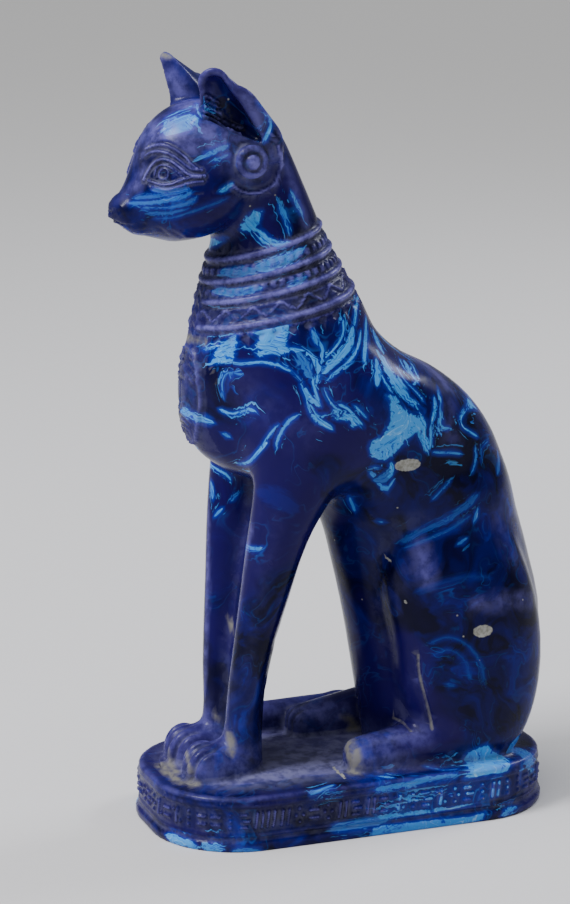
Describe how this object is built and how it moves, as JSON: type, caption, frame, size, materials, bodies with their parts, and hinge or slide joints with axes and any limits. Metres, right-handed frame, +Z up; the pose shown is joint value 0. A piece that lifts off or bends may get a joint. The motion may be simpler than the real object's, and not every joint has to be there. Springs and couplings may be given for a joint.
{
  "type": "seated cat figure",
  "caption": "Seated cat ornament with pricked ears, earrings, a wide collar and a chest pendant, on a low plinth with round ends.",
  "frame": {"origin": "centre of the plinth's underside", "axes": "+Z up, -Y the way the cat faces, +X the cat's left side"},
  "size_m": [0.067, 0.1403, 0.2384],
  "materials": {
    "cast_composition": "polished dark blue and violet casting with turquoise marbling, dull dirt in the grooves"
  },
  "bodies": {
    "root": {"bastet_cat": "cast_composition"}
  },
  "joints": []
}
